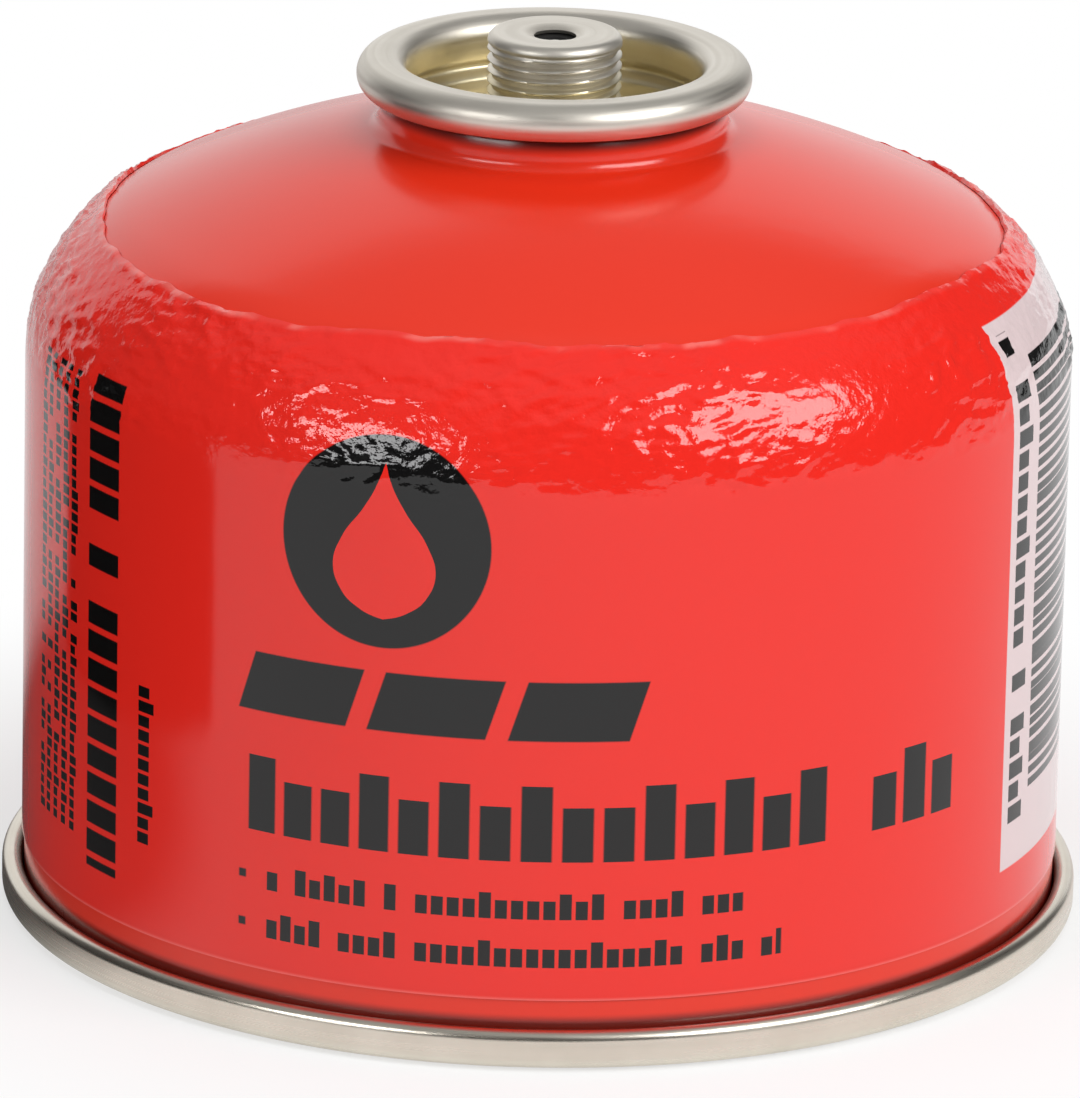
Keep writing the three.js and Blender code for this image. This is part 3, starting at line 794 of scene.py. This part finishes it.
def grown(name, start, *steps):
    """Runs node trees over a mesh, each with its inputs by name, and keeps the result as a plain mesh."""
    piece = placed_object(name, start)
    for tree, values in steps:
        modifier = piece.modifiers.new(tree.name, "NODES")
        modifier.node_group = tree
        for socket in tree.interface.items_tree:
            if socket.name in values:
                modifier[socket.identifier] = values[socket.name]
    graph = bpy.context.evaluated_depsgraph_get()
    mesh = bpy.data.meshes.new_from_object(piece.evaluated_get(graph), depsgraph=graph)
    piece.modifiers.clear()
    piece.data = mesh
    shaded(mesh)
    return piece


turning = turning_tree()
threading = threading_tree()
coiling = coiling_tree()


def turned(name, section, facets, material, *more):
    """A section turned about Z into a closed solid, with its faces outwards."""
    points = without_repeats(section)
    onward = np.roll(np.array(points), -1, axis=0)
    if sum(p[0] * q[1] - q[0] * p[1] for p, q in zip(points, onward)) > 0:
        points = points[::-1]
    corners = bpy.data.meshes.new(name)
    corners.from_pydata([(r * MM, 0, z * MM) for r, z in points], [], [])
    rows = len(points) + 1 if points[0][0] > 0 else len(points)
    sizes = {"Corners": len(points), "Rows": rows, "Facets": facets, "Material": material}
    return grown(name, corners, (turning, sizes), *more)


thread_sizes = {
    "Radius": TURRET_RADIUS * MM, "Pitch": THREAD_PITCH * MM, "Depth": THREAD_DEPTH * MM,
    "Foot": thread_foot * MM, "Full from": (thread_foot + THREAD_FOOT_FADE) * MM,
    "Top": thread_top * MM, "Full to": (thread_top - THREAD_TOP_FADE) * MM,
    "Material": stamped_plate,
}
spring_sizes = {
    "Wire radius": SPRING_WIRE * MM, "Coil radius": SPRING_COIL * MM,
    "Foot": (spring_low + SPRING_WIRE) * MM, "Head": (spring_high - SPRING_WIRE) * MM,
    "Turns": SPRING_TURNS, "Flatness": SPRING_FLATNESS,
    "Steps": SPRING_STEPS, "Sides": SPRING_SIDES,
    "Material": spring_steel,
}

can = turned("lacquered_can", can_section(), ROUND, lacquer)
base = turned("seamed_base", base_section(), ROUND, seamed_plate)
cup = turned("threaded_cup", cup_section(), CUP_ROUND, stamped_plate, (threading, thread_sizes))
spring = grown("drawn_spring", bpy.data.meshes.new("drawn_spring"), (coiling, spring_sizes))


# The shrink film

def film_edge(angle):
    """Length from the table plane to the film's wavy upper edge. Angles run round from +X."""
    turn = math.pi / 2 - angle
    edge = FILM_REACH
    for height, count, phase in FILM_WAVES:
        edge += height * math.cos(count * turn + math.radians(phase))
    return edge


def ridge(place, frequency, shift):
    """1 along the creases of a pattern, falling away to each side of them."""
    return 1 - min(abs(noise.noise(place * frequency + Vector(shift))) * CREASE_SHARPNESS, 1.0)


def crinkle(x, y, length, edge):
    """Height of the shrunk film's folds: none on the wall, strong over the shoulder, beaded at the edge."""
    over_shoulder = smoothstep(WALL_TOP + CREASE_START[0], WALL_TOP + CREASE_START[1], length)
    if over_shoulder == 0:
        return 0
    place = Vector((x * CREASE_STRETCH, y * CREASE_STRETCH, length))
    reach, frequency = BEND
    bend = Vector([noise.noise(place * frequency + Vector(shift)) for shift in BEND_SHIFTS])
    folds = sum(share * ridge(place + reach * bend, count, shift) for share, count, shift in CREASES)
    patch = smoothstep(-0.3, 0.3, noise.noise(place * PATCHES + Vector(PATCH_SHIFT)))
    bead = math.exp(-((edge - length - BEAD_INSET) / BEAD_BREADTH) ** 2)
    whole = smoothstep(-0.25, 0.25, noise.noise(Vector((x * BEAD_BREAKS, y * BEAD_BREAKS, 7.7))))
    crease = CREASE_HEIGHT * over_shoulder * (PATCH_LEAST + (1 - PATCH_LEAST) * patch) * folds
    return crease + BEAD_HEIGHT * bead * (BEAD_LEAST + (1 - BEAD_LEAST) * whole)


def film_points():
    """Outer and inner points of the film, column by column, and each one's place on it."""
    wall = np.linspace(FILM_FOOT, WALL_TOP - FILM_ROWS_STOP, FILM_WALL_ROWS + 1)
    share = np.linspace(0, 1, FILM_SHOULDER_ROWS + 1)[1:]
    outer, inner, places = [], [], []
    for angle in np.linspace(0, math.tau, FILM_COLUMNS, endpoint=False):
        edge = film_edge(angle)
        around = Vector((math.cos(angle), math.sin(angle)))
        for length in [*wall, *(wall[-1] + (edge - wall[-1]) * share)]:
            (r, z), out = on_can(length, FILM_GAP)
            x, y = r * around
            proud = FILM_THICKNESS + FILM_LOOSE + crinkle(x, y, length, edge)
            x_out, y_out = (r + out[0] * proud) * around
            inner.append((x * MM, y * MM, z * MM))
            outer.append((x_out * MM, y_out * MM, (z + out[1] * proud) * MM))
            places.append((angle, length, edge - length))
    return outer, inner, places


def film_faces(rows):
    """Faces of the film's outer side, inner side, foot and upper edge."""
    inside = FILM_COLUMNS * rows
    faces = []
    for column in range(FILM_COLUMNS):
        a, b = column * rows, (column + 1) % FILM_COLUMNS * rows
        for j in range(rows - 1):
            faces.append((a + j, b + j, b + j + 1, a + j + 1))
            faces.append((inside + a + j + 1, inside + b + j + 1, inside + b + j, inside + a + j))
        top_a, top_b = a + rows - 1, b + rows - 1
        faces.append((a, inside + a, inside + b, b))
        faces.append((top_a, top_b, inside + top_b, inside + top_a))
    return faces


def film_places(mesh, places):
    """Writes each corner's place: millimetres round from the front, up, and down from the upper edge."""
    attribute = mesh.attributes.new("film_place", "FLOAT_VECTOR", "CORNER")
    values = np.zeros((len(mesh.loops), 3), np.float32)
    radius = BODY_RADIUS + FILM_THICKNESS
    for polygon in mesh.polygons:
        corners = []
        for loop in polygon.loop_indices:
            angle, length, margin = places[mesh.loops[loop].vertex_index % len(places)]
            turn = (angle + math.pi / 2 + math.pi) % math.tau - math.pi
            corners.append((loop, turn, length, margin))
        turns = [corner[1] for corner in corners]
        over_the_back = max(turns) - min(turns) > math.pi
        for loop, turn, length, margin in corners:
            if over_the_back and turn < 0:
                turn += math.tau
            values[loop] = (turn * radius, length, margin)
    attribute.data.foreach_set("vector", values.ravel())


def film_piece():
    """The film as one closed skin, with its material and its places on it."""
    outer, inner, places = film_points()
    mesh = bpy.data.meshes.new("film_label")
    mesh.from_pydata(outer + inner, [], film_faces(len(places) // FILM_COLUMNS))
    shaded(mesh, 60)
    film_places(mesh, places)
    mesh.materials.append(film_print)
    return placed_object("film_label", mesh)


film = film_piece()


# What each piece rides on and stands for

for piece, cad_node, slot in (
    (can, "can_body", "red_lacquer"),
    (base, "base_end", "tinplate"),
    (cup, "valve_cup", "tinplate"),
    (film, "label_sleeve", "printed_film"),
):
    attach(piece, BODY)
    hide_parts(cad_node)

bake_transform(spring)
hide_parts("valve_spring")

for cad_node, material in (
    ("cup_gasket", rubber),
    ("turret_gasket", rubber),
    ("valve_housing", acetal),
    ("valve_stem", acetal),
):
    for material_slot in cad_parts[cad_node].material_slots:
        material_slot.material = material


# Table and cards

TABLE_SIZE = 1500.0
TABLE_DROP = 0.2  # below the can's foot, so that the two share no plane
WHITE_FROM = (45.0, 90.0)  # from the axis: the table turns from its own shade to white
MIRRORED_FROM = (-90.0, -25.0)  # across: its reflection turns from dim to half bright
FLAG = ((-100, -51), (-100, 33), 60)  # its two feet on the table, and its height
MAT = ((-78, 8), 35, 58)  # its middle, and where its fading starts and ends
MAT_SIZE = 120.0
MAT_HEIGHT = 0.1


def stage_piece(name, corners, material):
    """A flat sheet with four corners, in millimetres, that isn't part of the object."""
    mesh = bpy.data.meshes.new(name)
    mesh.from_pydata([tuple(c * MM for c in corner) for corner in corners], [], [(0, 1, 2, 3)])
    mesh.materials.append(material)
    made = placed_object(name, mesh)
    return made


def bare_tree(owner):
    """The node tree of a material or world, emptied."""
    owner.use_nodes = True
    owner.node_tree.nodes.clear()
    return owner.node_tree


def square(size, height, middle=(0, 0)):
    """Corners of a level square."""
    (x, y), half = middle, size / 2
    return [(x + a * half, y + b * half, height) for a, b in ((-1, -1), (1, -1), (1, 1), (-1, 1))]


def white_paper():
    """Matt white paper: seen as white away from the can, and dim in reflections at the left."""
    material = bpy.data.materials.new("white_paper")
    tree = bare_tree(material)
    ray = node(tree, "ShaderNodeLightPath").outputs
    place = node(tree, COORDINATES).outputs["Object"]
    from_can = node(tree, VECTOR, [place], operation="LENGTH").outputs["Value"]
    from_left = node(tree, SPLIT, [place]).outputs["X"]
    seen = node(tree, RANGE, [from_can, *(reach * MM for reach in WHITE_FROM), 0.6, 1.0], **SMOOTH)
    mirrored = node(tree, RANGE, [from_left, *(x * MM for x in MIRRORED_FROM), 0.08, 0.5], **SMOOTH)
    seen = node(tree, MATH, [ray["Is Camera Ray"], seen], operation="MULTIPLY")
    share = node(tree, MATH, [ray["Is Glossy Ray"], mirrored, seen], operation="MULTIPLY_ADD")
    matt = node(tree, "ShaderNodeBsdfDiffuse", {"Color": linear("F2F2F2")})
    white = node(tree, "ShaderNodeEmission", {"Strength": 1.0})
    surface = node(tree, "ShaderNodeMixShader", [share, matt, white])
    node(tree, "ShaderNodeOutputMaterial", [surface])
    return material


def black_card():
    """Black card, matt: darkens the gloss at the can's left."""
    return new_material("black_card", {"Base Color": linear("141414"), "Roughness": 0.9})[0]


def grey_card():
    """Grey card, matt, fading out round its middle: dims the reflection low at the left."""
    material, tree, place = new_material("grey_card", {"Base Color": linear("6A6A6A"), "Roughness": 0.9})
    (x, y), solid, gone = MAT
    from_middle = node(tree, VECTOR, [place, (x * MM, y * MM, 0)], operation="DISTANCE").outputs["Value"]
    fading = node(tree, RANGE, [from_middle, solid * MM, gone * MM, 1.0, 0.0], **SMOOTH)
    tree.links.new(fading.outputs["Result"], tree.nodes["Principled BSDF"].inputs["Alpha"])
    return material


stage_piece("table", square(TABLE_SIZE, -TABLE_DROP), white_paper())

(ax, ay), (bx, by), tall = FLAG
flag_corners = [(ax, ay, 0), (bx, by, 0), (bx, by, tall), (ax, ay, tall)]
flag = stage_piece("flag", flag_corners, black_card())
flag.visible_camera = False

mat = stage_piece("mat", square(MAT_SIZE, MAT_HEIGHT, MAT[0]), grey_card())
mat.visible_camera = False
mat.visible_diffuse = False
mat.visible_shadow = False


# Light

AMBIENT = 0.36  # plain light from all round, for all but reflections
CLOTH_MIDDLE = (-0.18, 0.974, 0.139)  # towards the middle of the white cloth
CLOTH_EDGE = (0.71, 0.79)  # cosines of the angles from it where the cloth ends
CEILING_EDGE = (0.5, 0.85)  # sines of the heights where the room turns to ceiling
LAMP_AIM = (0, 0, 40)


def studio():
    """The room that the gloss mirrors: a white cloth behind the can, a dim ceiling, dark in front."""
    world = bpy.data.worlds.new("studio")
    tree = bare_tree(world)
    ray = node(tree, "ShaderNodeLightPath").outputs
    direction = node(tree, COORDINATES).outputs["Generated"]
    height = node(tree, SPLIT, [direction]).outputs["Z"]
    towards = node(tree, VECTOR, [direction, CLOTH_MIDDLE], operation="DOT_PRODUCT").outputs["Value"]
    cloth = node(tree, RANGE, [towards, *CLOTH_EDGE, 0.0, 1.0], **SMOOTH)
    ceiling = node(tree, RANGE, [height, *CEILING_EDGE, 0.06, 0.36], **SMOOTH)
    mirrored = node(tree, MATH, [cloth, ceiling], operation="MAXIMUM")
    lit = node(tree, MIX, {0: ray["Is Glossy Ray"], 2: AMBIENT, 3: mirrored})
    strength = node(tree, MATH, [ray["Is Camera Ray"], lit], operation="MAXIMUM")
    background = node(tree, "ShaderNodeBackground", {"Color": (1, 1, 1, 1), "Strength": strength})
    node(tree, "ShaderNodeOutputWorld", [background])
    return world


def softbox(name, azimuth, elevation, distance, width, height, watts):
    """An area lamp, sizes in metres: azimuth 0 is in front, and 90 at the photograph's right."""
    lamp = bpy.data.lights.new(name, "AREA")
    lamp.shape = "RECTANGLE"
    lamp.size = width
    lamp.size_y = height
    lamp.energy = watts
    a, e = math.radians(azimuth), math.radians(elevation)
    back = Vector((math.sin(a) * math.cos(e), -math.cos(a) * math.cos(e), math.sin(e)))
    made = placed_object(name, lamp)
    made.location = Vector(LAMP_AIM) * MM + back * distance
    made.rotation_mode = "QUATERNION"
    made.rotation_quaternion = back.to_track_quat("Z", "Y")
    return made


bpy.context.scene.world = studio()
softbox("key_left", -42, 23, 1.0, 0.52, 0.15, 2.2)
softbox("key_right", 54, 33, 1.0, 0.68, 0.36, 6.2)
overhead = softbox("overhead", 0, 80, 1.2, 0.8, 0.8, 4.2)
overhead.visible_glossy = False


# Camera, from the photograph: 1 m away, 17.45 degrees above the horizon

LONG_SIDE, SHORT_SIDE = 1098, 1080
DISTANCE = 1000.0  # from the point aimed at
SCALE = 12.02  # pixels to the millimetre at that point
ELEVATION = math.radians(17.45)
ROLL = math.radians(1.19)  # clockwise lean of the can in the photograph
AIM_HEIGHT = 36.0  # of that point on the axis
AIM_PIXEL = (546.0, 476.9)  # where the photograph shows it
SENSOR = 36.0


def photograph_camera():
    """Stands where the photograph was taken from, turned so that the aim falls on its pixel."""
    look = Vector((0, math.cos(ELEVATION), -math.sin(ELEVATION)))
    right = Vector((1, 0, 0))
    upward = right.cross(look)
    across_x = math.cos(ROLL) * right + math.sin(ROLL) * upward
    across_y = -math.sin(ROLL) * right + math.cos(ROLL) * upward
    focal = SCALE * DISTANCE
    off = (SHORT_SIDE / 2 - AIM_PIXEL[0], AIM_PIXEL[1] - LONG_SIDE / 2)
    forward = (look * focal + across_x * off[0] + across_y * off[1]).normalized()
    side = forward.cross(across_y).normalized()
    lift = side.cross(forward)
    lens = bpy.data.cameras.new("camera")
    lens.sensor_width = SENSOR
    lens.lens = SENSOR * focal / LONG_SIDE
    lens.clip_start = 0.05
    lens.clip_end = 20.0
    camera = placed_object("camera", lens)
    stand = (Vector((0, 0, AIM_HEIGHT)) - look * DISTANCE) * MM
    camera.matrix_world = Matrix.Translation(stand) @ Matrix((side, lift, -forward)).transposed().to_4x4()
    return camera


bpy.context.scene.camera = photograph_camera()
bpy.context.scene.view_settings.view_transform = "Standard"
